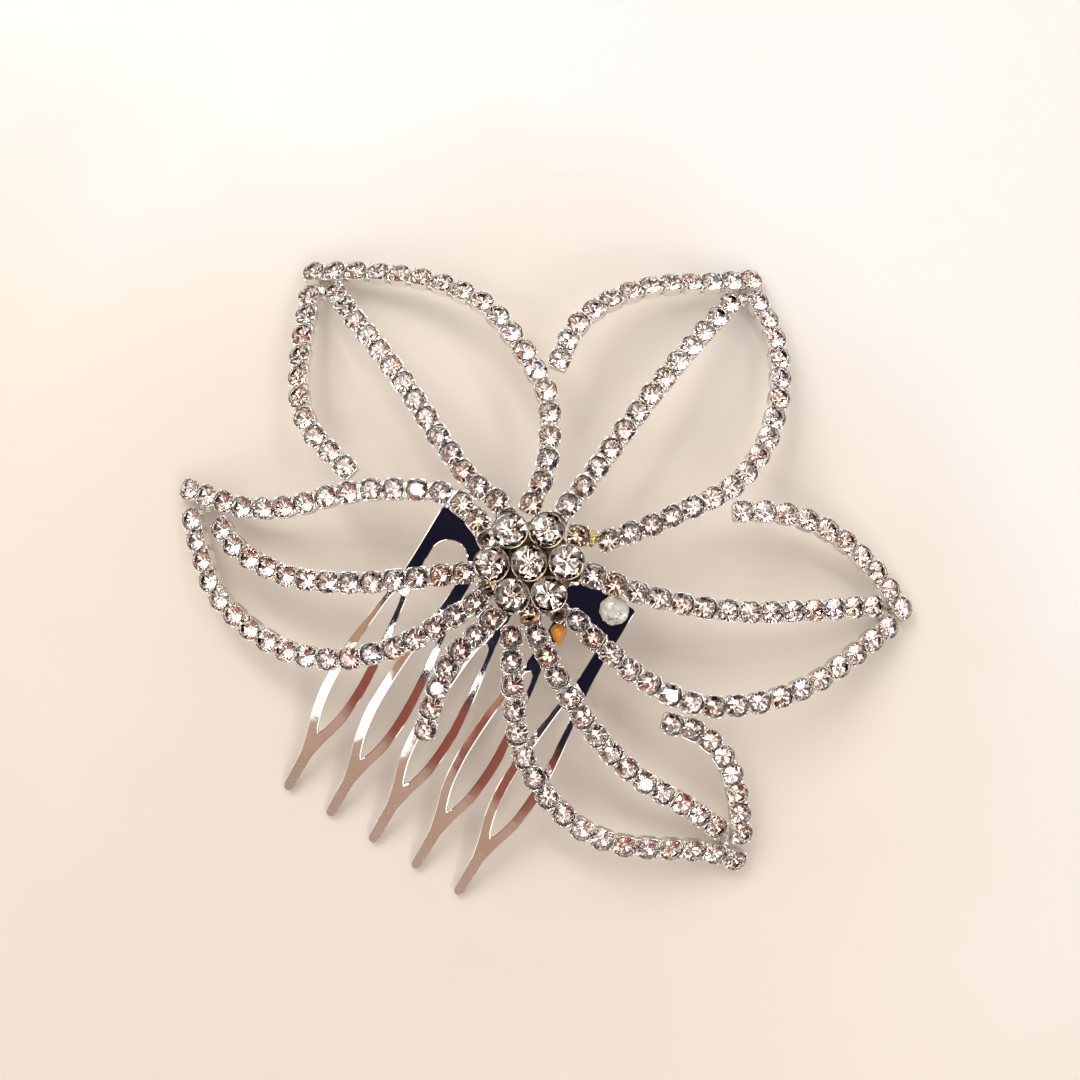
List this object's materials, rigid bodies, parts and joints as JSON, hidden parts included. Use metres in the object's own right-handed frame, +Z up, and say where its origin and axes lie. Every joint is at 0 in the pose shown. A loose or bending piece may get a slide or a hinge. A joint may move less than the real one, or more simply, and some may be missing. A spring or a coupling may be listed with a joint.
{
  "type": "hair comb",
  "caption": "Slide-in metal hair comb with long teeth under an open domed flower of rhinestone cup chain, with a cluster of larger crystals at its heart.",
  "frame": {"origin": "under the middle of the comb's box, on the plane that it lies on", "axes": "+Z up, away from that plane; X across the comb; the teeth point along -Y"},
  "size_m": [0.1114, 0.109, 0.0203],
  "materials": {
    "comb_metal": "bright silver-coloured plating, mirror-polished, with slightly rough tips",
    "cup_metal": "bright silver-coloured plating on stamped brass",
    "bezel_metal": "bright silver-coloured plating, slightly warm",
    "solder": "soft solder, satin grey, browned by flux at the hub",
    "brass": "bare brass-coloured lump",
    "crystal": "clear faceted glass with a foil back",
    "amber": "glossy translucent amber",
    "clear_glue": "clear glossy glue"
  },
  "bodies": {
    "root": {"comb": "comb_metal", "hub_solder": "solder", "petal_1_long_edge_cups": "cup_metal", "petal_1_long_edge_stones": "crystal", "petal_1_short_edge_cups": "cup_metal", "petal_1_short_edge_stones": "crystal", "petal_1_vein_cups": "cup_metal", "petal_1_vein_stones": "crystal", "petal_2_long_edge_cups": "cup_metal", "petal_2_long_edge_stones": "crystal", "petal_2_short_edge_cups": "cup_metal", "petal_2_short_edge_stones": "crystal", "petal_2_vein_cups": "cup_metal", "petal_2_vein_stones": "crystal", "petal_3_long_edge_cups": "cup_metal", "petal_3_long_edge_stones": "crystal", "petal_3_short_edge_cups": "cup_metal", "petal_3_short_edge_stones": "crystal", "petal_3_vein_cups": "cup_metal", "petal_3_vein_stones": "crystal", "petal_4_long_edge_cups": "cup_metal", "petal_4_long_edge_stones": "crystal", "petal_4_short_edge_cups": "cup_metal", "petal_4_short_edge_stones": "crystal", "petal_4_vein_cups": "cup_metal", "petal_4_vein_stones": "crystal", "petal_5_short_edge_cups": "cup_metal", "petal_5_short_edge_stones": "crystal", "petal_5_long_edge_cups": "cup_metal", "petal_5_long_edge_stones": "crystal", "petal_5_vein_cups": "cup_metal", "petal_5_vein_stones": "crystal", "stem_tail_cups": "cup_metal", "stem_tail_stones": "crystal", "hub_cup": "cup_metal", "hub_cup_stone": "crystal", "brass_link": "brass", "centre_bezel_1": "bezel_metal", "centre_stone_1": "crystal", "centre_bezel_2": "bezel_metal", "centre_stone_2": "crystal", "centre_bezel_3": "bezel_metal", "centre_stone_3": "crystal", "centre_bezel_4": "bezel_metal", "centre_stone_4": "crystal", "centre_bezel_5": "bezel_metal", "centre_stone_5": "crystal", "centre_bezel_6": "bezel_metal", "centre_stone_6": "crystal", "centre_bezel_7": "bezel_metal", "centre_stone_7": "crystal", "petal_1_tip_solder": "solder", "petal_2_tip_solder": "solder", "petal_3_tip_solder": "solder", "petal_4_tip_solder": "solder", "petal_5_tip_solder": "solder", "amber_drop": "amber", "clear_dab": "clear_glue"}
  },
  "joints": []
}
